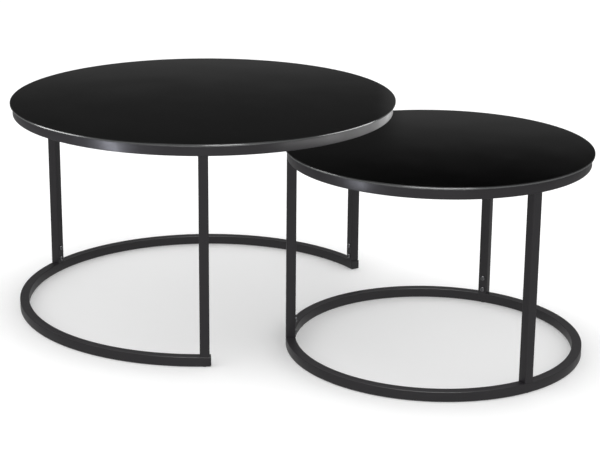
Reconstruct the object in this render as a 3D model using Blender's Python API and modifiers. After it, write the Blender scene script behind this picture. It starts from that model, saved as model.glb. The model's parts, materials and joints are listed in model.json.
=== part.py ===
"""A pair of round nesting tables: black glass tops on square-tube steel frames.

Blender 4.5, metres, +Z up. The origin is on the floor below the middle of the pair.
+X is the way the small table pulls out of the large one. The large table's base ring is
left open on that side, so the small table can slide in between two of its legs. The legs
are welded to the top rings and screwed to sockets on the base rings.
"""

import math

import bmesh
import bpy

# ---- driving dimensions -----------------------------------------------------------

GAP = 0.0003                # clearance left wherever two pieces meet
PAIR_DISTANCE = 0.538       # between the two tables' centres, at rest
TURN = math.radians(2)      # both tables stand turned this much off the slide line

LARGE_DIAMETER = 0.800
LARGE_HEIGHT = 0.446

SMALL_DIAMETER = 0.600
SMALL_HEIGHT = 0.413

GLASS_THICKNESS = 0.004
GLASS_BEVEL = 0.0008
GLASS_OVERHANG = 0.005      # glass beyond the ring's outer face
GLASS_LIFT = 0.001          # space between ring and glass, held by the clear pads

TUBE = 0.019                # square tube of rings and legs
TUBE_WALL = 0.0012

STUB = TUBE - 2 * TUBE_WALL - 2 * GAP       # welded square socket inside each leg's foot
STUB_WALL = 0.0025
STUB_HEIGHT = 0.047
STUB_SINK = 0.0006          # how far a stub reaches into the ring's wall
DRAIN_RADIUS = 0.004        # hole through the ring's wall inside each leg

SCREW_HEIGHTS = (0.010, 0.035)      # of each leg's two screws, from the base ring
SCREW_RADIUS = 0.003
SCREW_LENGTH = 0.010
SCREW_HEAD_RADIUS = 0.00525
SCREW_HEAD_HEIGHT = 0.0033
SCREW_HEAD_EDGE = 0.0008    # height of the head's upright edge
SCREW_HEAD_FLAT = 0.0035    # radius of the flat round its hex socket
SOCKET_WIDTH = 0.004
SOCKET_DEPTH = 0.002

ARC_END = 0.0105            # how far the open base ring runs past its end legs' middles
PLUG_CAP = 0.0015
PLUG_SHANK = 0.009
PLUG_SLACK = 0.001          # room round the shank, which is straight in a bent tube

GLASS_PAD_RADIUS = 0.005
GLASS_PAD_COUNT = 4
FLOOR_PAD_RADIUS = 0.007
FLOOR_PAD_HEIGHT = 0.0012

LARGE_STEPS = 72
SMALL_STEPS = 60
SCREW_STEPS = 12
PAD_STEPS = 16
DRAIN_STEPS = 8

# ---- worked out from them ---------------------------------------------------------

LENGTH = LARGE_DIAMETER / 2 + PAIR_DISTANCE + SMALL_DIAMETER / 2
LARGE_X = (LARGE_DIAMETER - LENGTH) / 2
SMALL_X = LARGE_X + PAIR_DISTANCE
RING_DROP = GLASS_THICKNESS + GLASS_LIFT + TUBE     # from glass top to ring underside
BASE_Z = FLOOR_PAD_HEIGHT + GAP                     # underside of the base rings

TABLES = {
    "large": {
        "x": LARGE_X,
        "radius": LARGE_DIAMETER / 2,
        "height": LARGE_HEIGHT,
        "legs": {"front": -60, "rear": 60, "back": 180},
        "steps": LARGE_STEPS,
        "open_base": True,
    },
    "small": {
        "x": SMALL_X,
        "radius": SMALL_DIAMETER / 2,
        "height": SMALL_HEIGHT,
        "legs": {"front": -30, "rear": 90, "back": 210},
        "steps": SMALL_STEPS,
        "open_base": False,
    },
}

# ---- scene and materials ----------------------------------------------------------

for old in list(bpy.data.objects):
    bpy.data.objects.remove(old, do_unlink=True)

pieces = bpy.data.collections.new("nesting_tables")
bpy.context.scene.collection.children.link(pieces)
cutters = bpy.data.collections.new("cutters")
bpy.context.scene.collection.children.link(cutters)
cutters.hide_render = True


def material(name, colour, roughness, metallic, alpha=1.0):
    made = bpy.data.materials.new(name)
    made.use_nodes = True
    shader = made.node_tree.nodes["Principled BSDF"]
    shader.inputs["Base Color"].default_value = (*colour, 1.0)
    shader.inputs["Roughness"].default_value = roughness
    shader.inputs["Metallic"].default_value = metallic
    shader.inputs["Alpha"].default_value = alpha
    return made


BLACK_GLASS = material("black_glass", (0.004, 0.004, 0.005), 0.03, 0.0)
BLACK_STEEL = material("black_powder_coated_steel", (0.032, 0.032, 0.034), 0.42, 0.0)
BLACK_SCREW = material("black_oxide_steel", (0.030, 0.030, 0.030), 0.38, 0.8)
BLACK_PLASTIC = material("black_plastic", (0.020, 0.020, 0.021), 0.50, 0.0)
CLEAR_SILICONE = material("clear_silicone", (0.80, 0.82, 0.82), 0.25, 0.0, alpha=0.5)
BLACK_RUBBER = material("black_rubber", (0.015, 0.015, 0.015), 0.85, 0.0)


# ---- building blocks --------------------------------------------------------------

def add_object(name, mesh, collection, finish=None):
    made = bpy.data.objects.new(name, mesh)
    collection.objects.link(made)
    if finish:
        mesh.materials.append(finish)
    return made


def smooth(mesh):
    """Shades round stretches smooth and keeps the corners sharp."""
    mesh.shade_smooth()
    mesh.set_sharp_from_angle(angle=math.radians(35))


def evaluated_copy(source):
    """A plain mesh of the object as its modifiers leave it, in its own space."""
    bpy.context.view_layer.update()
    graph = bpy.context.evaluated_depsgraph_get()
    return bpy.data.meshes.new_from_object(source.evaluated_get(graph), depsgraph=graph)


def turned(name, profile, steps, closed=False):
    """The mesh of a profile of (radius, height) points turned about the Z axis."""
    flat = bmesh.new()
    corners = [flat.verts.new((radius, 0, height)) for radius, height in profile]
    for first, second in zip(corners, corners[1:]):
        flat.edges.new((first, second))
    if closed:
        flat.edges.new((corners[-1], corners[0]))
    mesh = bpy.data.meshes.new(name)
    flat.to_mesh(mesh)
    flat.free()
    guide = add_object(name, mesh, cutters)
    screw = guide.modifiers.new("turn", "SCREW")
    screw.angle = math.tau
    screw.steps = steps
    screw.render_steps = steps
    screw.use_merge_vertices = True
    screw.merge_threshold = 0.00001
    screw.use_normal_calculate = True
    solid = evaluated_copy(guide)
    smooth(solid)
    bpy.data.objects.remove(guide, do_unlink=True)
    bpy.data.meshes.remove(mesh)
    return solid


def outwards(mesh):
    """Turns every face of a closed mesh to face out."""
    shape = bmesh.new()
    shape.from_mesh(mesh)
    bmesh.ops.recalc_face_normals(shape, faces=shape.faces)
    shape.to_mesh(mesh)
    shape.free()
    return mesh


def box(name, low, high):
    """The mesh of an upright box between two corners."""
    shape = bmesh.new()
    bmesh.ops.create_cube(shape, size=1.0)
    for vert in shape.verts:
        vert.co = [
            a + (b - a) * (part + 0.5) for a, b, part in zip(low, high, vert.co)
        ]
    mesh = bpy.data.meshes.new(name)
    shape.to_mesh(mesh)
    shape.free()
    return mesh


def cylinder(name, radius, low, high, sides, axis="Z"):
    """The mesh of a round bar from low to high along the Z or X axis."""
    shape = bmesh.new()
    bmesh.ops.create_cone(
        shape, cap_ends=True, segments=sides, radius1=radius, radius2=radius, depth=high - low
    )
    for vert in shape.verts:
        vert.co.z += (high + low) / 2
        if axis == "X":
            vert.co = (vert.co.z, vert.co.y, -vert.co.x)
    mesh = bpy.data.meshes.new(name)
    shape.to_mesh(mesh)
    shape.free()
    smooth(mesh)
    return mesh


def placed(mesh, table, angle=None, radius=0.0, z=0.0, name="cutter"):
    """A cutter standing on a table's circle, its X axis pointing out from the centre."""
    tool = add_object(name, mesh, cutters)
    put(tool, table, angle, radius, z)
    tool.display_type = "WIRE"
    tool.hide_render = True
    return tool


def put(item, table, angle=None, radius=0.0, z=0.0):
    """Places an object on a table's circle. With no angle it goes on the centre."""
    heading = TURN + math.radians(angle or 0)
    item.location = (
        table["x"] + radius * math.cos(heading),
        radius * math.sin(heading),
        z,
    )
    item.rotation_euler = (0, 0, heading)


def combine(target, tool, operation):
    step = target.modifiers.new(operation.lower(), "BOOLEAN")
    step.operation = operation
    step.object = tool


def settle(target):
    """Bakes an object's Boolean steps into its mesh and removes the tools they used."""
    tools = [step.object for step in target.modifiers]
    mesh = evaluated_copy(target)
    smooth(mesh)
    target.modifiers.clear()
    target.data = mesh
    for tool in tools:
        bpy.data.objects.remove(tool, do_unlink=True)


def square_profile(radius, half, low, high):
    """The four corners of a square section, run down its outer side first."""
    return [
        (radius + half, high),
        (radius + half, low),
        (radius - half, low),
        (radius - half, high),
    ]


# ---- rings ------------------------------------------------------------------------

def ring_radius(table):
    """Radius of the tubes' centre line."""
    return table["radius"] - GLASS_OVERHANG - TUBE / 2


def hollow_ring(name, table, low):
    """A ring bent from square tube, its underside at the height low."""
    radius = ring_radius(table)
    high = low + TUBE
    outer = outwards(
        turned(name, square_profile(radius, TUBE / 2, low, high), table["steps"], closed=True)
    )
    ring = add_object(name, outer, pieces, BLACK_STEEL)
    put(ring, table)
    inner = outwards(
        turned(
            "bore",
            square_profile(radius, TUBE / 2 - TUBE_WALL, low + TUBE_WALL, high - TUBE_WALL),
            table["steps"],
            closed=True,
        )
    )
    combine(ring, placed(inner, table, name="bore"), "DIFFERENCE")
    return ring


def drain_holes(ring, table, face):
    """Drills the wall behind the ring's flat face at the height face, once in each leg."""
    low, high = face - 2 * TUBE_WALL, face + 2 * TUBE_WALL
    for angle in table["legs"].values():
        drain = cylinder("drain", DRAIN_RADIUS, low, high, DRAIN_STEPS)
        combine(ring, placed(drain, table, angle, ring_radius(table)), "DIFFERENCE")


def add_stubs(ring, table, face):
    """Welds a tapped square socket to the ring's upper face for each leg."""
    radius = ring_radius(table)
    half = STUB / 2
    hollow = half - STUB_WALL
    top = face + STUB_HEIGHT
    for angle in table["legs"].values():
        stub = box("stub", (-half, -half, face - STUB_SINK), (half, half, top))
        combine(ring, placed(stub, table, angle, radius), "UNION")
        bore = box(
            "stub_bore", (-hollow, -hollow, face + STUB_SINK), (hollow, hollow, top + STUB_WALL)
        )
        combine(ring, placed(bore, table, angle, radius), "DIFFERENCE")
        for height in SCREW_HEIGHTS:
            hole = cylinder("tap", SCREW_RADIUS + GAP, -TUBE, 0, SCREW_STEPS, axis="X")
            combine(ring, placed(hole, table, angle, radius, face + height), "DIFFERENCE")


def top_ring(side, table):
    low = table["height"] - RING_DROP
    ring = hollow_ring(f"{side}_top_ring", table, low)
    drain_holes(ring, table, low)
    settle(ring)


def opening_wedge(table):
    """A three-sided block from the table's centre over the gap in the open base ring."""
    run = ARC_END / ring_radius(table)
    start = math.radians(table["legs"]["front"]) + run
    end = math.radians(table["legs"]["rear"]) - run
    reach = 2.5 * table["radius"]      # its far side then clears the ring, 120 degrees apart
    shape = bmesh.new()
    corners = [shape.verts.new((0, 0, -TUBE))]
    for angle in (start, end):
        corners.append(shape.verts.new((reach * math.cos(angle), reach * math.sin(angle), -TUBE)))
    floor = shape.faces.new(corners)
    grown = bmesh.ops.extrude_face_region(shape, geom=[floor])["geom"]
    for item in grown:
        if isinstance(item, bmesh.types.BMVert):
            item.co.z += 4 * TUBE
    bmesh.ops.recalc_face_normals(shape, faces=shape.faces)
    mesh = bpy.data.meshes.new("wedge")
    shape.to_mesh(mesh)
    shape.free()
    return mesh


def base_ring(side, table):
    ring = hollow_ring(f"{side}_base_ring", table, BASE_Z)
    if table["open_base"]:
        combine(ring, placed(opening_wedge(table), table), "DIFFERENCE")
    add_stubs(ring, table, BASE_Z + TUBE)
    drain_holes(ring, table, BASE_Z + TUBE)
    settle(ring)


def end_plugs(side, table):
    """Push-in plastic plugs that close the open base ring's two tube ends."""
    half = TUBE / 2
    shank = half - TUBE_WALL - PLUG_SLACK
    radius = ring_radius(table)
    run = ARC_END / radius
    middle = BASE_Z + half
    for where, way in (("front", 1), ("rear", -1)):
        angle = table["legs"][where] + way * math.degrees(run)
        ends = sorted((way * GAP, way * (GAP + PLUG_CAP)))
        cap = box("cap", (-half, ends[0], middle - half), (half, ends[1], middle + half))
        plug = add_object(f"{side}_{where}_end_plug", cap, pieces, BLACK_PLASTIC)
        put(plug, table, angle, radius)
        ends = sorted((-way * PLUG_SHANK, way * (GAP + PLUG_CAP / 2)))
        core = box("core", (-shank, ends[0], middle - shank), (shank, ends[1], middle + shank))
        combine(plug, placed(core, table, angle, radius), "UNION")
        settle(plug)


# ---- legs and their screws --------------------------------------------------------

def leg(name, table, angle):
    """An upright square tube with two screw holes through its inner wall at the foot."""
    low = BASE_Z + TUBE + GAP
    high = table["height"] - RING_DROP - GAP
    half = TUBE / 2
    bore = half - TUBE_WALL
    radius = ring_radius(table)
    tube = add_object(name, box(name, (-half, -half, low), (half, half, high)), pieces, BLACK_STEEL)
    put(tube, table, angle, radius)
    inside = box("leg_bore", (-bore, -bore, low - TUBE), (bore, bore, high + TUBE))
    combine(tube, placed(inside, table, angle, radius), "DIFFERENCE")
    for height in screw_levels():
        hole = cylinder("hole", SCREW_RADIUS + GAP, -TUBE, 0, SCREW_STEPS, axis="X")
        combine(tube, placed(hole, table, angle, radius, height), "DIFFERENCE")
    settle(tube)


def screw_levels():
    """Heights of a leg's two screws above the floor."""
    return [BASE_Z + TUBE + height for height in SCREW_HEIGHTS]


def screw_mesh():
    """A button-head screw along +X, its head's underside at 0 and its shank on +X."""
    profile = [
        (0, SCREW_HEAD_HEIGHT),
        (SCREW_HEAD_FLAT, SCREW_HEAD_HEIGHT),
        (SCREW_HEAD_RADIUS, SCREW_HEAD_EDGE),
        (SCREW_HEAD_RADIUS, 0),
        (SCREW_RADIUS, 0),
        (SCREW_RADIUS, -SCREW_LENGTH),
        (0, -SCREW_LENGTH),
    ]
    body = add_object("screw", outwards(turned("screw", profile, SCREW_STEPS)), cutters)
    across_corners = SOCKET_WIDTH / math.sqrt(3)
    socket = cylinder(
        "socket", across_corners, SCREW_HEAD_HEIGHT - SOCKET_DEPTH, SCREW_HEAD_HEIGHT * 2, 6
    )
    combine(body, add_object("socket", socket, cutters), "DIFFERENCE")
    settle(body)
    mesh = body.data
    bpy.data.objects.remove(body, do_unlink=True)
    for vert in mesh.vertices:
        vert.co = (-vert.co.z, vert.co.y, vert.co.x)
    return mesh


def leg_screws(name, table, angle, mesh):
    face = ring_radius(table) - TUBE / 2 - GAP
    for level, height in zip(("lower", "upper"), screw_levels()):
        screw = add_object(f"{name}_{level}_screw", mesh, pieces)
        put(screw, table, angle, face, height)


# ---- glass and pads ---------------------------------------------------------------

def glass_top(side, table):
    """A round sheet of glass with a small bevel on both edges of its rim."""
    radius = table["radius"]
    high = table["height"]
    low = high - GLASS_THICKNESS
    profile = [
        (0, high),
        (radius - GLASS_BEVEL, high),
        (radius, high - GLASS_BEVEL),
        (radius, low + GLASS_BEVEL),
        (radius - GLASS_BEVEL, low),
        (0, low),
    ]
    sheet = outwards(turned(f"{side}_glass_top", profile, table["steps"]))
    glass = add_object(f"{side}_glass_top", sheet, pieces, BLACK_GLASS)
    glass.location.x = table["x"]


def glass_pads(side, table):
    """Clear pads stuck to the ring, a quarter turn apart and clear of the legs."""
    low = table["height"] - GLASS_THICKNESS - GLASS_LIFT + GAP
    high = table["height"] - GLASS_THICKNESS - GAP
    for index in range(GLASS_PAD_COUNT):
        name = f"{side}_glass_pad_{index + 1}"
        mesh = cylinder(name, GLASS_PAD_RADIUS, low, high, PAD_STEPS)
        pad = add_object(name, mesh, pieces, CLEAR_SILICONE)
        angle = 360 / GLASS_PAD_COUNT * (index + 0.5)
        put(pad, table, angle, ring_radius(table))


def floor_pads(side, table):
    """Thin round pads stuck below the base ring, one below each leg."""
    for where, angle in table["legs"].items():
        name = f"{side}_{where}_floor_pad"
        mesh = cylinder(name, FLOOR_PAD_RADIUS, 0, FLOOR_PAD_HEIGHT, PAD_STEPS)
        pad = add_object(name, mesh, pieces, BLACK_RUBBER)
        put(pad, table, angle, ring_radius(table))


# ---- the pair ---------------------------------------------------------------------

def build_table(side, table, screw):
    glass_top(side, table)
    glass_pads(side, table)
    top_ring(side, table)
    base_ring(side, table)
    if table["open_base"]:
        end_plugs(side, table)
    floor_pads(side, table)
    for where, angle in table["legs"].items():
        name = f"{side}_{where}_leg"
        leg(name, table, angle)
        leg_screws(name, table, angle, screw)


screw = screw_mesh()
screw.materials.append(BLACK_SCREW)

for side, table in TABLES.items():
    build_table(side, table, screw)

small = bpy.data.objects.new("small_table", None)
small.location = (SMALL_X, 0, 0)
pieces.objects.link(small)
bpy.context.view_layer.update()
for item in list(pieces.objects):
    if item.name.startswith("small_") and item is not small:
        item.parent = small
        item.matrix_parent_inverse = small.matrix_world.inverted()
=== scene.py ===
"""The looks of the nesting tables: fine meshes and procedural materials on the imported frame."""

import json
import math

import bmesh
import bpy
from mathutils import Matrix, Vector

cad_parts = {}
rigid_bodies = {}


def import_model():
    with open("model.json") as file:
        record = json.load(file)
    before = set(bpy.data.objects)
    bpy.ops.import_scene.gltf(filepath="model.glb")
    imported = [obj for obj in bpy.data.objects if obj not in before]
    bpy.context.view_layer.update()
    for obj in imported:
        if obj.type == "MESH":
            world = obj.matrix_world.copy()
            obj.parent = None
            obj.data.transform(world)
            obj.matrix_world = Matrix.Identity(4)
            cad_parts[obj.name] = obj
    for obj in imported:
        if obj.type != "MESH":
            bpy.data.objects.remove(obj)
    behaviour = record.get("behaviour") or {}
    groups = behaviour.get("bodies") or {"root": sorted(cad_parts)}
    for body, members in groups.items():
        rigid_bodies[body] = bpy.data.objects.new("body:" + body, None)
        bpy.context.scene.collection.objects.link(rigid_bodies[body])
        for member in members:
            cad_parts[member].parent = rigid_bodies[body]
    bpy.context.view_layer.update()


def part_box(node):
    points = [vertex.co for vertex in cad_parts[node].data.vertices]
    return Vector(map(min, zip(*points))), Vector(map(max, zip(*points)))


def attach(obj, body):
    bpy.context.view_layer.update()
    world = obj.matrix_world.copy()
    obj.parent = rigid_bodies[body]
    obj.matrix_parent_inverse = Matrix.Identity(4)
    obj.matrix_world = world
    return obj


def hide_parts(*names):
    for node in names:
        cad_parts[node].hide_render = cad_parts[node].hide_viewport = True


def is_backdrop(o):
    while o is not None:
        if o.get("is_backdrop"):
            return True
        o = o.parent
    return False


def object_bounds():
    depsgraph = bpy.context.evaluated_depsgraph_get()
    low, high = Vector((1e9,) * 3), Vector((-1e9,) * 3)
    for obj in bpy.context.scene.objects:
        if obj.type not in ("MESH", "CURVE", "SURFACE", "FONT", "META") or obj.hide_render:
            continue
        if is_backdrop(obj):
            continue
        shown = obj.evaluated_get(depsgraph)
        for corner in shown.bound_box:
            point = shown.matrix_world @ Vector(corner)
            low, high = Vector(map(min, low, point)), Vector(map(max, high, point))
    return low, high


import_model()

# ---- sizes, in metres ---------------------------------------------------------------

WALL = 0.0012               # tube wall
OUTER_CORNER = 0.0010       # bend radius on a tube's outside corners
GAP = 0.0003                # clearance between pieces
ARC_END = 0.0105            # how far the open ring runs past its end legs' middles

STUB = 0.0160               # square socket inside each leg's foot
STUB_WALL = 0.0025
STUB_HEIGHT = 0.047
STUB_CORNER = 0.0010
STUB_BORE_CORNER = 0.0004

GLASS_EDGE = 0.0011         # radius of the polished edge, top and bottom
PLUG_SHANK = 0.009
PLUG_SLACK = 0.001
PLUG_LEAD = 0.002           # length of the taper at the shank's tip, and how far it narrows
PLUG_LEAD_IN = 0.0012
PLUG_CAP = 0.0015
PLUG_BEVEL = 0.0004         # depth and width of the bevel next to the tube
PLUG_BEVEL_IN = 0.0002
PLUG_DOME = ((0.62, 0), (0.88, 0.0005), (1, 0.0016))   # share of the cap's depth, drawn in by

SCREW_RADIUS = 0.003
SCREW_LENGTH = 0.010
SCREW_TIP = 0.0006          # bevel at the shank's end
HEAD_RADIUS = 0.00525
HEAD_HEIGHT = 0.0033
HEAD_RIM = 0.0005           # height of the head's rim, below its dome
HEAD_BEVEL = 0.0002         # below that rim
SOCKET_WIDTH = 0.004        # across its flats
SOCKET_DEPTH = 0.002

CLEAR_PAD_ROUNDING = 0.45   # edge radius as a share of the pad's height
FLOOR_PAD_ROUNDING = 0.3

RING_STEPS = 288
GLASS_STEPS = 360
SMALL_ROUND_STEPS = 40
CORNER_STEPS = 5
GLASS_EDGE_STEPS = 7
HEAD_DOME_STEPS = 9
HEX = 6

# Edges turning by more than this many degrees are drawn sharp.
SHARP = 35
SHARP_ON_PLUGS = 40
SHARP_ON_TURNED = 50

FACE, EDGE, BACKING = 0, 1, 2       # the glass mesh's material slots

SIDES = ("large", "small")
PLACES = ("front", "rear", "back")
LEVELS = ("lower", "upper")         # a leg's two screws


# ---- places, from the frame -----------------------------------------------------------

def middle(node):
    low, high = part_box(node)
    return (low + high) / 2


def table_centre(side):
    place = middle(f"{side}_glass_top")
    return Vector((place.x, place.y, 0))


def leg_heading(side, place):
    """Direction from the table's centre to a leg, in radians."""
    away = middle(f"{side}_{place}_leg") - table_centre(side)
    return math.atan2(away.y, away.x)


def ring_radius(side):
    """Radius of the line down the middle of a table's tubes."""
    away = middle(f"{side}_back_leg") - table_centre(side)
    return math.hypot(away.x, away.y)


def on_ring(side, heading, radius, height=0.0):
    """Matrix of a place on a table's circle, its X axis pointing away from the centre."""
    centre = table_centre(side)
    spot = Matrix.Translation((radius * math.cos(heading), radius * math.sin(heading), height))
    return Matrix.Translation(centre) @ spot @ Matrix.Rotation(heading, 4, "Z")


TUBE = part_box("large_front_end_plug")[1].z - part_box("large_front_end_plug")[0].z


# ---- mesh making ----------------------------------------------------------------------

def mesh_from(name, shape, sharp=SHARP):
    bmesh.ops.recalc_face_normals(shape, faces=shape.faces)
    mesh = bpy.data.meshes.new(name)
    shape.to_mesh(mesh)
    shape.free()
    mesh.shade_smooth()
    mesh.set_sharp_from_angle(angle=math.radians(sharp))
    return mesh


def arc(centre, radius, start, end, steps):
    """Points on a circle's arc, angles in degrees, both ends included."""
    points = []
    for index in range(steps + 1):
        angle = math.radians(start + (end - start) * index / steps)
        points.append((centre[0] + radius * math.cos(angle), centre[1] + radius * math.sin(angle)))
    return points


def rounded_square(half, corner):
    """Outline of a square with rounded corners, centred on the origin."""
    inset = half - corner
    outline = []
    for turn, (x, y) in enumerate(((1, 1), (-1, 1), (-1, -1), (1, -1))):
        outline += arc((x * inset, y * inset), corner, 90 * turn, 90 * turn + 90, CORNER_STEPS)
    return outline


def bridge(shape, first, second):
    """Faces between two closed rows of points of the same length."""
    faces = []
    for index in range(len(first)):
        following = (index + 1) % len(first)
        corners = (first[index], first[following], second[following], second[index])
        faces.append(shape.faces.new(corners))
    return faces


def swept(name, outline, radius, start=0.0, sweep=math.tau, inner=None):
    """An outline of (out, up) points swept round Z. A part turn is closed at its ends, as a
    tube's wall if there is an inner outline, or else with a flat cap."""
    shape = bmesh.new()
    full = abs(sweep - math.tau) < 1e-6
    walls = [outline] if inner is None or full else [outline, inner]
    ends = []
    for wall in walls:
        rows = []
        for index in range(RING_STEPS if full else RING_STEPS + 1):
            angle = start + sweep * index / RING_STEPS
            across = Vector((math.cos(angle), math.sin(angle), 0))
            rows.append([shape.verts.new(across * (radius + out) + Vector((0, 0, up)))
                         for out, up in wall])
        for index in range(len(rows) - (0 if full else 1)):
            bridge(shape, rows[index], rows[(index + 1) % len(rows)])
        ends.append((rows[0], rows[-1]))
    if not full and inner is None:
        shape.faces.new(ends[0][0])
        shape.faces.new(ends[0][1])
    elif not full:
        bridge(shape, ends[0][0], ends[1][0])
        bridge(shape, ends[0][1], ends[1][1])
    return mesh_from(name, shape)


def extruded(name, outline, low, high, inner=None):
    """An upright bar, or a tube if there is an inner outline of as many points."""
    shape = bmesh.new()
    walls = []
    for wall in [outline] if inner is None else [outline, inner]:
        rows = [[shape.verts.new((x, y, z)) for x, y in wall] for z in (low, high)]
        bridge(shape, *rows)
        walls.append(rows)
    for end in (0, 1):
        if inner is None:
            shape.faces.new(walls[0][end])
        else:
            bridge(shape, walls[0][end], walls[1][end])
    return mesh_from(name, shape)


def turned(name, profile, steps, slots=None):
    """A profile of (radius, height) points turned about Z. It starts and ends on the axis.
    slots gives the material slot of each stretch of the profile."""
    shape = bmesh.new()
    rows = []
    for radius, height in profile:
        if radius < 1e-7:
            rows.append([shape.verts.new((0, 0, height))])
            continue
        rows.append([
            shape.verts.new((radius * math.cos(math.tau * index / steps),
                             radius * math.sin(math.tau * index / steps), height))
            for index in range(steps)
        ])
    for stretch, (upper, lower) in enumerate(zip(rows, rows[1:])):
        if len(upper) == 1 or len(lower) == 1:
            tip, ring = (upper[0], lower) if len(upper) == 1 else (lower[0], upper)
            faces = [shape.faces.new((tip, ring[index], ring[(index + 1) % steps]))
                     for index in range(steps)]
        else:
            faces = bridge(shape, upper, lower)
        for face in faces:
            face.material_index = slots[stretch] if slots else 0
    return mesh_from(name, shape, SHARP_ON_TURNED)


def cut(mesh, tools):
    """Cuts every tool mesh out of a mesh, and returns the result."""
    scene = bpy.context.scene.collection
    target = bpy.data.objects.new("target", mesh)
    scene.objects.link(target)
    cutters = []
    for tool in tools:
        cutter = bpy.data.objects.new("cutter", tool)
        scene.objects.link(cutter)
        step = target.modifiers.new("cut", "BOOLEAN")
        step.operation = "DIFFERENCE"
        step.object = cutter
        cutters.append(cutter)
    bpy.context.view_layer.update()
    graph = bpy.context.evaluated_depsgraph_get()
    result = bpy.data.meshes.new_from_object(target.evaluated_get(graph), depsgraph=graph)
    for item in (target, *cutters):
        bpy.data.objects.remove(item, do_unlink=True)
    result.shade_smooth()
    result.set_sharp_from_angle(angle=math.radians(SHARP))
    return result


def bar(radius, low, high, sides, along_x=False):
    """A plain round or six-sided cutter."""
    shape = bmesh.new()
    bmesh.ops.create_cone(
        shape, cap_ends=True, segments=sides, radius1=radius, radius2=radius, depth=high - low
    )
    bmesh.ops.translate(shape, verts=shape.verts, vec=(0, 0, (high + low) / 2))
    mesh = mesh_from("bar", shape)
    if along_x:
        mesh.transform(Matrix.Rotation(math.pi / 2, 4, "Y"))
    return mesh


# ---- materials ------------------------------------------------------------------------

NOISE_RANGE = (0.3, 0.7)    # where most of a noise's values lie
NOISE_ROUGHNESS = 0.55


def shader(name, colour, roughness, metallic=0.0, ior=1.5):
    made = bpy.data.materials.new(name)
    made.use_nodes = True
    principled = made.node_tree.nodes["Principled BSDF"]
    principled.inputs["Base Color"].default_value = (*colour, 1.0)
    principled.inputs["Roughness"].default_value = roughness
    principled.inputs["Metallic"].default_value = metallic
    principled.inputs["IOR"].default_value = ior
    return made, made.node_tree, principled


def noise(tree, scale, detail):
    """Noise in the object's own metres, so its grain keeps its real size."""
    place = tree.nodes.new("ShaderNodeTexCoord")
    grain = tree.nodes.new("ShaderNodeTexNoise")
    grain.inputs["Scale"].default_value = scale
    grain.inputs["Detail"].default_value = detail
    grain.inputs["Roughness"].default_value = NOISE_ROUGHNESS
    tree.links.new(place.outputs["Object"], grain.inputs["Vector"])
    return grain.outputs["Fac"]


def spread(tree, value, low, high):
    """Maps a noise value onto a range."""
    ramp = tree.nodes.new("ShaderNodeMapRange")
    ramp.inputs["From Min"].default_value = NOISE_RANGE[0]
    ramp.inputs["From Max"].default_value = NOISE_RANGE[1]
    ramp.inputs["To Min"].default_value = low
    ramp.inputs["To Max"].default_value = high
    tree.links.new(value, ramp.inputs["Value"])
    return ramp.outputs["Result"]


def mixed(tree, factor, first, second):
    """A mix of two outputs or plain colours."""
    mix = tree.nodes.new("ShaderNodeMix")
    mix.data_type = "RGBA"
    tree.links.new(factor, mix.inputs["Factor"])
    for letter, value in (("A", first), ("B", second)):
        if isinstance(value, bpy.types.NodeSocket):
            tree.links.new(value, mix.inputs[letter])
        else:
            mix.inputs[letter].default_value = (*value, 1.0)
    return mix.outputs["Result"]


def uneven_gloss(tree, principled, scale, detail, low, high):
    """Lets the roughness wander between two values."""
    value = spread(tree, noise(tree, scale, detail), low, high)
    tree.links.new(value, principled.inputs["Roughness"])


def bump(tree, principled, *layers):
    """Adds bump layers of (height, distance in metres), each on top of the last."""
    normal = None
    for height, distance in layers:
        step = tree.nodes.new("ShaderNodeBump")
        step.inputs["Strength"].default_value = 1.0
        step.inputs["Distance"].default_value = distance
        tree.links.new(height, step.inputs["Height"])
        if normal is not None:
            tree.links.new(normal, step.inputs["Normal"])
        normal = step.outputs["Normal"]
    tree.links.new(normal, principled.inputs["Normal"])


def powder_coat():
    """Satin black powder coat: fine orange peel, with slightly uneven gloss."""
    made, tree, principled = shader("satin_black_powder_coat", (0.0095, 0.0087, 0.0099), 0.32)
    patches = noise(tree, 18, 3)
    colour = mixed(tree, patches, (0.0078, 0.0070, 0.0082), (0.0114, 0.0106, 0.0118))
    tree.links.new(colour, principled.inputs["Base Color"])
    uneven_gloss(tree, principled, 55, 5, 0.28, 0.36)
    peel = noise(tree, 420, 2)
    grit = noise(tree, 1900, 2)
    bump(tree, principled, (peel, 0.00005), (grit, 0.000012))
    return made


def glass_face():
    """Black glass seen from above: a deep even black under a polished surface."""
    made, tree, principled = shader("black_glass", (0.0006, 0.0006, 0.0006), 0.05, ior=1.52)
    uneven_gloss(tree, principled, 9, 4, 0.035, 0.075)
    bump(tree, principled, (noise(tree, 6, 1), 0.00012))
    return made


def glass_edge():
    """The polished rim, painted a little paler than the black glass face as a faint painted
    highlight along the edge.
    """
    # painted highlight: this paler base colour stands in for light catching the polished edge
    made, tree, principled = shader("glass_rim_painted_highlight", (0.045, 0.047, 0.047), 0.20, ior=1.52)
    uneven_gloss(tree, principled, 240, 3, 0.16, 0.26)
    bump(tree, principled, (noise(tree, 900, 2), 0.00001))
    return made


def glass_backing():
    """The black enamel on the underside of the glass."""
    made, tree, principled = shader("black_enamel_backing", (0.009, 0.009, 0.009), 0.45)
    uneven_gloss(tree, principled, 40, 4, 0.35, 0.55)
    bump(tree, principled, (noise(tree, 700, 3), 0.00002))
    return made


def black_oxide():
    """The blackened steel of the screws, a dark grey metal."""
    made, tree, principled = shader("black_oxide_steel", (0.24, 0.24, 0.25), 0.25, 1.0)
    uneven_gloss(tree, principled, 900, 4, 0.18, 0.34)
    bump(tree, principled, (noise(tree, 2400, 3), 0.000008))
    return made


def moulded_plastic():
    """The tube plugs."""
    made, tree, principled = shader("black_moulded_plastic", (0.018, 0.018, 0.019), 0.5)
    uneven_gloss(tree, principled, 300, 4, 0.42, 0.58)
    bump(tree, principled, (noise(tree, 1500, 3), 0.00003))
    return made


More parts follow.
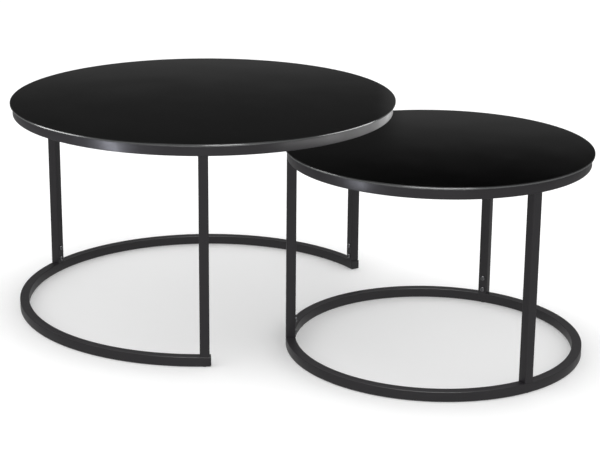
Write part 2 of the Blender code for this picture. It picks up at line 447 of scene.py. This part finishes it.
def rubber():
    """The floor pads."""
    made, tree, principled = shader("black_rubber", (0.014, 0.014, 0.014), 0.82)
    uneven_gloss(tree, principled, 500, 4, 0.75, 0.92)
    bump(tree, principled, (noise(tree, 1200, 3), 0.00004))
    return made


def silicone():
    """The clear pads under the glass."""
    made, tree, principled = shader("clear_silicone", (0.82, 0.84, 0.84), 0.22, ior=1.41)
    principled.inputs["Transmission Weight"].default_value = 0.7
    uneven_gloss(tree, principled, 700, 3, 0.16, 0.30)
    return made


POWDER_COAT = powder_coat()
GLASS = [glass_face(), glass_edge(), glass_backing()]
OXIDE = black_oxide()
PLASTIC = moulded_plastic()
RUBBER = rubber()
SILICONE = silicone()


# ---- pieces ---------------------------------------------------------------------------

def add_piece(name, mesh, place, side, materials, node=None):
    """Puts a piece in the scene on its table's body, in place of its CAD node."""
    for finish in materials:
        if finish.name not in mesh.materials:
            mesh.materials.append(finish)
    piece = bpy.data.objects.new(name, mesh)
    bpy.context.scene.collection.objects.link(piece)
    piece.matrix_world = place
    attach(piece, f"{side}_table")
    if node:
        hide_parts(node)
    return piece


def glass_top(side):
    node = f"{side}_glass_top"
    low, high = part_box(node)
    radius = (high.y - low.y) / 2
    top = high.z
    rim = radius - GLASS_EDGE
    upper = arc((rim, top - GLASS_EDGE), GLASS_EDGE, 90, 0, GLASS_EDGE_STEPS)
    lower = arc((rim, low.z + GLASS_EDGE), GLASS_EDGE, 0, -90, GLASS_EDGE_STEPS)
    flat = rim - GLASS_EDGE / 2
    profile = [(0, top), (flat, top), *upper, *lower, (flat, low.z), (0, low.z)]
    slots = [FACE] * (len(upper) + 1) + [EDGE] * len(lower) + [BACKING, BACKING]
    sheet = turned(f"{side}_glass", profile, GLASS_STEPS, slots)
    add_piece(f"{side}_glass", sheet, Matrix.Translation(table_centre(side)), side,
              GLASS, node)


def tube_outline():
    return rounded_square(TUBE / 2, OUTER_CORNER)


def bore_outline():
    return rounded_square(TUBE / 2 - WALL, OUTER_CORNER / 4)


def at_height(outline, height):
    return [(out, up + height) for out, up in outline]


def top_ring(side):
    node = f"{side}_top_ring"
    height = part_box(node)[1].z - TUBE / 2
    ring = swept(f"{side}_upper_ring", at_height(tube_outline(), height), ring_radius(side))
    add_piece(f"{side}_upper_ring", ring, Matrix.Translation(table_centre(side)), side,
              [POWDER_COAT], node)


def base_ring(side):
    node = f"{side}_base_ring"
    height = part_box(node)[0].z + TUBE / 2
    radius = ring_radius(side)
    if side == "large":
        run = ARC_END / radius
        start = leg_heading(side, "rear") - run
        sweep = math.tau + leg_heading(side, "front") + run - start
        ring = swept(f"{side}_lower_ring", at_height(tube_outline(), height), radius, start,
                     sweep, inner=at_height(bore_outline(), height))
    else:
        ring = swept(f"{side}_lower_ring", at_height(tube_outline(), height), radius)
    add_piece(f"{side}_lower_ring", ring, Matrix.Translation(table_centre(side)), side,
              [POWDER_COAT], node)
    for place in PLACES:
        stub(side, place, height + TUBE / 2)


def end_plug(side, place, way):
    """A push-in plug with a slightly domed cap. way is 1 where its cap faces +Y locally."""
    node = f"{side}_{place}_end_plug"
    radius = ring_radius(side)
    heading = leg_heading(side, place) + way * ARC_END / radius
    half = TUBE / 2
    shank = half - WALL - PLUG_SLACK
    shape = bmesh.new()
    stations = [
        (-PLUG_SHANK, shank - PLUG_LEAD_IN),
        (-PLUG_SHANK + PLUG_LEAD, shank),
        (GAP, shank),
        (GAP, half - PLUG_BEVEL_IN),
        (GAP + PLUG_BEVEL, half),
    ]
    stations += [(GAP + PLUG_CAP * share, half - drawn_in) for share, drawn_in in PLUG_DOME]
    rows = []
    for depth, reach in stations:
        outline = rounded_square(reach, min(OUTER_CORNER, reach / 3))
        rows.append([shape.verts.new((x, way * depth, z)) for x, z in outline])
    for first, second in zip(rows, rows[1:]):
        bridge(shape, first, second)
    shape.faces.new(rows[0])
    shape.faces.new(rows[-1])
    plug = mesh_from(f"{side}_{place}_plug", shape, SHARP_ON_PLUGS)
    add_piece(f"{side}_{place}_plug", plug, on_ring(side, heading, radius, middle(node).z), side,
              [PLASTIC], node)


def screw_heights(side, place):
    return [middle(f"{side}_{place}_leg_{level}_screw").z for level in LEVELS]


def screw_holes(side, place):
    """Cutters for a leg's screw holes, through the inner wall only."""
    holes = []
    for height in screw_heights(side, place):
        hole = bar(SCREW_RADIUS + GAP, 0, TUBE, SMALL_ROUND_STEPS, along_x=True)
        hole.transform(Matrix.Translation((-TUBE, 0, height)))
        holes.append(hole)
    return holes


def leg(side, place):
    """Square tube with rounded corners and two screw holes at its foot."""
    node = f"{side}_{place}_leg"
    low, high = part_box(node)
    tube = extruded(f"{node}_tube", tube_outline(), low.z, high.z, bore_outline())
    spot = on_ring(side, leg_heading(side, place), ring_radius(side))
    drilled = cut(tube, screw_holes(side, place))
    add_piece(f"{node}_tube", drilled, spot, side, [POWDER_COAT], node)


def stub(side, place, face):
    """The tapped square socket welded to a base ring, inside a leg's foot."""
    outline = rounded_square(STUB / 2, STUB_CORNER)
    inner = rounded_square(STUB / 2 - STUB_WALL, STUB_BORE_CORNER)
    name = f"{side}_{place}_socket"
    socket = extruded(name, outline, face, face + STUB_HEIGHT, inner)
    spot = on_ring(side, leg_heading(side, place), ring_radius(side))
    drilled = cut(socket, screw_holes(side, place))
    add_piece(name, drilled, spot, side, [POWDER_COAT])


def screw_mesh():
    """A button-head screw with a hex socket, its shank along +X from the head's underside."""
    flat = HEAD_RADIUS / 2
    profile = [(0, HEAD_HEIGHT), (flat, HEAD_HEIGHT)]
    for index in range(1, HEAD_DOME_STEPS + 1):
        angle = math.radians(90 * index / HEAD_DOME_STEPS)
        profile.append((flat + (HEAD_RADIUS - flat) * math.sin(angle),
                        HEAD_RIM + (HEAD_HEIGHT - HEAD_RIM) * math.cos(angle)))
    profile += [
        (HEAD_RADIUS, HEAD_BEVEL),
        (HEAD_RADIUS - HEAD_BEVEL, 0),
        (SCREW_RADIUS, 0),
        (SCREW_RADIUS, SCREW_TIP - SCREW_LENGTH),
        (SCREW_RADIUS - SCREW_TIP, -SCREW_LENGTH),
        (0, -SCREW_LENGTH),
    ]
    body = turned("button_screw", profile, SMALL_ROUND_STEPS)
    socket = bar(SOCKET_WIDTH / math.sqrt(3), HEAD_HEIGHT - SOCKET_DEPTH, HEAD_HEIGHT * 2, HEX)
    made = cut(body, [socket])
    made.transform(Matrix.Rotation(-math.pi / 2, 4, "Y"))
    return made


def leg_screws(side, place, mesh):
    heading = leg_heading(side, place)
    face = ring_radius(side) - TUBE / 2 - GAP
    for level, height in zip(LEVELS, screw_heights(side, place)):
        node = f"{side}_{place}_leg_{level}_screw"
        add_piece(f"{side}_{place}_{level}_bolt", mesh, on_ring(side, heading, face, height), side,
                  [OXIDE], node)


def round_pad(node, name, side, finish, rounding):
    """A low round pad with a rounded edge, filling its CAD node's box."""
    low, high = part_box(node)
    radius = min(high.x - low.x, high.y - low.y) / 2
    tall = high.z - low.z
    edge = tall * rounding
    upper = arc((radius - edge, tall - edge), edge, 90, 0, CORNER_STEPS)
    lower = arc((radius - edge, edge), edge, 0, -90, CORNER_STEPS)
    pad = turned(name, [(0, tall), *upper, *lower, (0, 0)], SMALL_ROUND_STEPS)
    spot = middle(node)
    add_piece(name, pad, Matrix.Translation((spot.x, spot.y, low.z)), side, [finish], node)


def pads(side):
    for index in range(1, 5):
        round_pad(f"{side}_glass_pad_{index}", f"{side}_clear_pad_{index}", side,
                  SILICONE, CLEAR_PAD_ROUNDING)
    for place in PLACES:
        round_pad(f"{side}_{place}_floor_pad", f"{side}_{place}_glide", side,
                  RUBBER, FLOOR_PAD_ROUNDING)


screw = screw_mesh()
for side in SIDES:
    glass_top(side)
    top_ring(side)
    base_ring(side)
    pads(side)
    for place in PLACES:
        leg(side, place)
        leg_screws(side, place, screw)
end_plug("large", "front", 1)
end_plug("large", "rear", -1)


# ---- floor, lights and camera ---------------------------------------------------------

VIEW_HEADING = math.radians(28.93)      # the camera looks this far round from +Y towards -X
CAMERA_PLACE = (1.580, -2.837, 1.211)
CAMERA_DOWN = math.radians(16.07)
CAMERA_ROLL = math.radians(0.50)
CAMERA_LENS = 98.7
CAMERA_SENSOR = 36
CAMERA_SHIFT = -0.066

FLOOR_REACH = 30
FLOOR_GLOW = 0.22           # keeps the shadows on the floor light

# Brightness of the room by elevation in degrees: for matt surfaces, and as gloss sees it
# behind the camera, straight ahead of it and to the right of that. Gloss is darkest where the
# flat tops mirror the room into the camera.
ROOM = ((-90, 1.0), (0, 1.9), (35, 1.4), (60, 0.5), (90, 0.4))
GLOSS_BEHIND = ((-3, 0.42), (3, 0.40), (10, 0.10), (17, 0.02), (24, 0.12), (40, 0.4), (90, 0.7))
GLOSS_AHEAD = (
    (-30, 0.40), (-8, 0.20), (3, 0.16), (11.3, 0.16), (12, 0.09), (12.7, 0.052), (13.5, 0.042),
    (14.5, 0.038), (15.2, 0.014), (16, 0.004), (17.5, 0.004), (22, 0.2), (40, 0.4), (90, 0.7),
)
GLOSS_RIGHT = (
    (-30, 0.40), (-8, 0.20), (3, 0.16), (11.3, 0.24), (13.2, 0.15), (13.6, 0.11), (14, 0.075),
    (14.4, 0.042), (15, 0.018), (15.5, 0.008), (16, 0.004), (17.5, 0.004), (22, 0.2), (40, 0.4),
    (90, 0.7),
)
RIGHT_STARTS = (2.6, 3.8)   # where the right takes over from ahead, in degrees
BEHIND_STARTS = 0.6         # how far ahead, and how far behind, the two mix

COOL_WHITE = (0.86, 0.88, 1.0)
NEUTRAL_WHITE = (1, 1, 1)


def toward_view(right, ahead, up):
    """A point given right of, ahead of and above the large table's centre, as seen by the
    camera."""
    turn = Matrix.Rotation(VIEW_HEADING, 4, "Z")
    return turn @ Vector((right, ahead, up)) + table_centre("large")


def floor():
    """A pale floor that glows a little. Gloss sees the world's lower half in its place."""
    shape = bmesh.new()
    bmesh.ops.create_grid(shape, x_segments=1, y_segments=1, size=FLOOR_REACH)
    mesh = mesh_from("floor", shape)
    made, tree, principled = shader("pale_floor", (0.80, 0.80, 0.80), 0.9)
    principled.inputs["Specular IOR Level"].default_value = 0.1
    principled.inputs["Emission Color"].default_value = (1, 1, 1, 1)
    principled.inputs["Emission Strength"].default_value = FLOOR_GLOW
    mesh.materials.append(made)
    plane = bpy.data.objects.new("floor", mesh)
    plane.location.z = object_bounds()[0].z
    plane.visible_glossy = False
    bpy.context.scene.collection.objects.link(plane)
    plane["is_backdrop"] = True


def area_light(name, place, target, width, height, power, only=(), colour=NEUTRAL_WHITE):
    """A soft box. Given pieces, it lights only those, and nothing shades them from it. place
    and target are as toward_view takes them."""
    data = bpy.data.lights.new(name, "AREA")
    data.shape = "RECTANGLE"
    data.size = width
    data.size_y = height
    data.energy = power
    data.color = colour
    lamp = bpy.data.objects.new(name, data)
    lamp.location = toward_view(*place)
    aim = toward_view(*target) - toward_view(*place)
    lamp.rotation_euler = aim.to_track_quat("-Z", "Y").to_euler()
    lamp.visible_camera = False
    bpy.context.scene.collection.objects.link(lamp)
    if only:
        data.use_shadow = False
        lit = bpy.data.collections.new(name)
        for piece in only:
            lit.objects.link(bpy.data.objects[piece])
        lamp.light_linking.receiver_collection = lit


def elevation_ramp(tree, height, stops):
    """Brightness by elevation, from stops of (degrees, brightness)."""
    ramp = tree.nodes.new("ShaderNodeValToRGB")
    while len(ramp.color_ramp.elements) < len(stops):
        ramp.color_ramp.elements.new(0.5)
    for element, (degrees, brightness) in zip(ramp.color_ramp.elements, stops):
        element.position = (math.sin(math.radians(degrees)) + 1) / 2
        element.color = (brightness, brightness, brightness, 1)
    scaled = tree.nodes.new("ShaderNodeMapRange")
    scaled.inputs["From Min"].default_value = -1
    tree.links.new(height, scaled.inputs["Value"])
    tree.links.new(scaled.outputs["Result"], ramp.inputs["Fac"])
    return ramp.outputs["Color"]


def smooth_step(tree, value, low, high):
    """Goes smoothly from 0 to 1 while a value goes from low to high."""
    step = tree.nodes.new("ShaderNodeMapRange")
    step.interpolation_type = "SMOOTHSTEP"
    step.inputs["From Min"].default_value = low
    step.inputs["From Max"].default_value = high
    tree.links.new(value, step.inputs["Value"])
    return step.outputs["Result"]


def world():
    """A bright room for matt surfaces, and a dimmer one for gloss, darkest where the glass
    tops look."""
    made = bpy.data.worlds.new("studio")
    bpy.context.scene.world = made
    made.use_nodes = True
    tree = made.node_tree
    tree.nodes.clear()
    place = tree.nodes.new("ShaderNodeTexCoord")
    facing = tree.nodes.new("ShaderNodeVectorRotate")
    facing.rotation_type = "Z_AXIS"
    facing.inputs["Angle"].default_value = -VIEW_HEADING
    tree.links.new(place.outputs["Generated"], facing.inputs["Vector"])
    split = tree.nodes.new("ShaderNodeSeparateXYZ")
    tree.links.new(facing.outputs["Vector"], split.inputs["Vector"])
    right_of, ahead_of, height = (split.outputs[axis] for axis in "XYZ")

    turn = tree.nodes.new("ShaderNodeMath")
    turn.operation = "ARCTAN2"
    tree.links.new(right_of, turn.inputs[0])
    tree.links.new(ahead_of, turn.inputs[1])
    first, last = (math.radians(bearing) for bearing in RIGHT_STARTS)
    to_right = smooth_step(tree, turn.outputs["Value"], first, last)
    to_behind = smooth_step(tree, ahead_of, BEHIND_STARTS, -BEHIND_STARTS)

    matt = elevation_ramp(tree, height, ROOM)
    ahead = elevation_ramp(tree, height, GLOSS_AHEAD)
    right = elevation_ramp(tree, height, GLOSS_RIGHT)
    behind = elevation_ramp(tree, height, GLOSS_BEHIND)
    gloss = mixed(tree, to_behind, mixed(tree, to_right, ahead, right), behind)
    rays = tree.nodes.new("ShaderNodeLightPath")
    light = tree.nodes.new("ShaderNodeBackground")
    tree.links.new(mixed(tree, rays.outputs["Is Glossy Ray"], matt, gloss), light.inputs["Color"])
    output = tree.nodes.new("ShaderNodeOutputWorld")
    tree.links.new(light.outputs["Background"], output.inputs["Surface"])


def camera():
    data = bpy.data.cameras.new("photo_view")
    data.lens = CAMERA_LENS
    data.sensor_width = CAMERA_SENSOR
    data.shift_y = CAMERA_SHIFT
    made = bpy.data.objects.new("photo_view", data)
    made.matrix_world = (
        Matrix.Translation(CAMERA_PLACE)
        @ Matrix.Rotation(VIEW_HEADING, 4, "Z")
        @ Matrix.Rotation(math.pi / 2 - CAMERA_DOWN, 4, "X")
        @ Matrix.Rotation(CAMERA_ROLL, 4, "Z")
    )
    bpy.context.scene.collection.objects.link(made)
    bpy.context.scene.camera = made


def lights():
    """One light over everything, and others that only give the highlights on some pieces."""
    steel = [piece.name for piece in bpy.data.objects if piece.active_material == POWDER_COAT]
    tops = [f"{side}_glass" for side in SIDES]
    area_light("overhead", (0.2, -0.2, 3.2), (0.2, -0.1, 0), 2.0, 2.0, 40)
    area_light("front_box", (0.2, -2.4, 2.6), (0.2, -0.3, 0.1), 2.4, 0.8, 120, steel)

    # The bright stretch on each upper ring, left of its front, and the large one's right end.
    area_light("large_strip", (-0.63, -0.73, 0.42), (0, -0.1, 0.42), 0.07, 0.7, 3.2,
               ["large_upper_ring"], COOL_WHITE)
    area_light("small_strip", (-0.55, -0.92, 0.40), (0.4, -0.4, 0.40), 0.07, 0.7, 3.2,
               ["small_upper_ring"], COOL_WHITE)
    area_light("right_box", (1.3, 0.5, 0.3), (0.3, 0.2, 0.4), 2.2, 0.6, 8, ["large_upper_ring"])
    area_light("right_card", (1.33, -0.76, 0.3), (0.2, -0.35, 0.42), 0.9, 0.4, 3.2,
               ["large_upper_ring"])

    # The bright stretches on the rims. These stay below the tops, which can't mirror them.
    area_light("right_edge_card", (1.49, -0.1, 0.15), (0.33, -0.23, 0.44), 1.1, 0.3, 8,
               ["large_glass"])
    area_light("front_card", (0.42, -1.79, 0.15), (0.1, -0.4, 0.44), 0.6, 0.3, 9,
               ["large_glass"])
    area_light("small_card", (0.38, -1.79, 0.12), (0.44, -0.56, 0.40), 1.2, 0.3, 11,
               ["small_glass"])
    area_light("left_card", (-1.5, -0.28, 0.15), (-0.33, -0.23, 0.44), 0.9, 0.3, 9, tops)


floor()
world()
camera()
lights()
# No gloss mirrors the two tops and their rings.
for name in ("large_glass", "large_upper_ring", "small_glass", "small_upper_ring"):
    bpy.data.objects[name].visible_glossy = False
bpy.context.scene.view_settings.view_transform = "Standard"
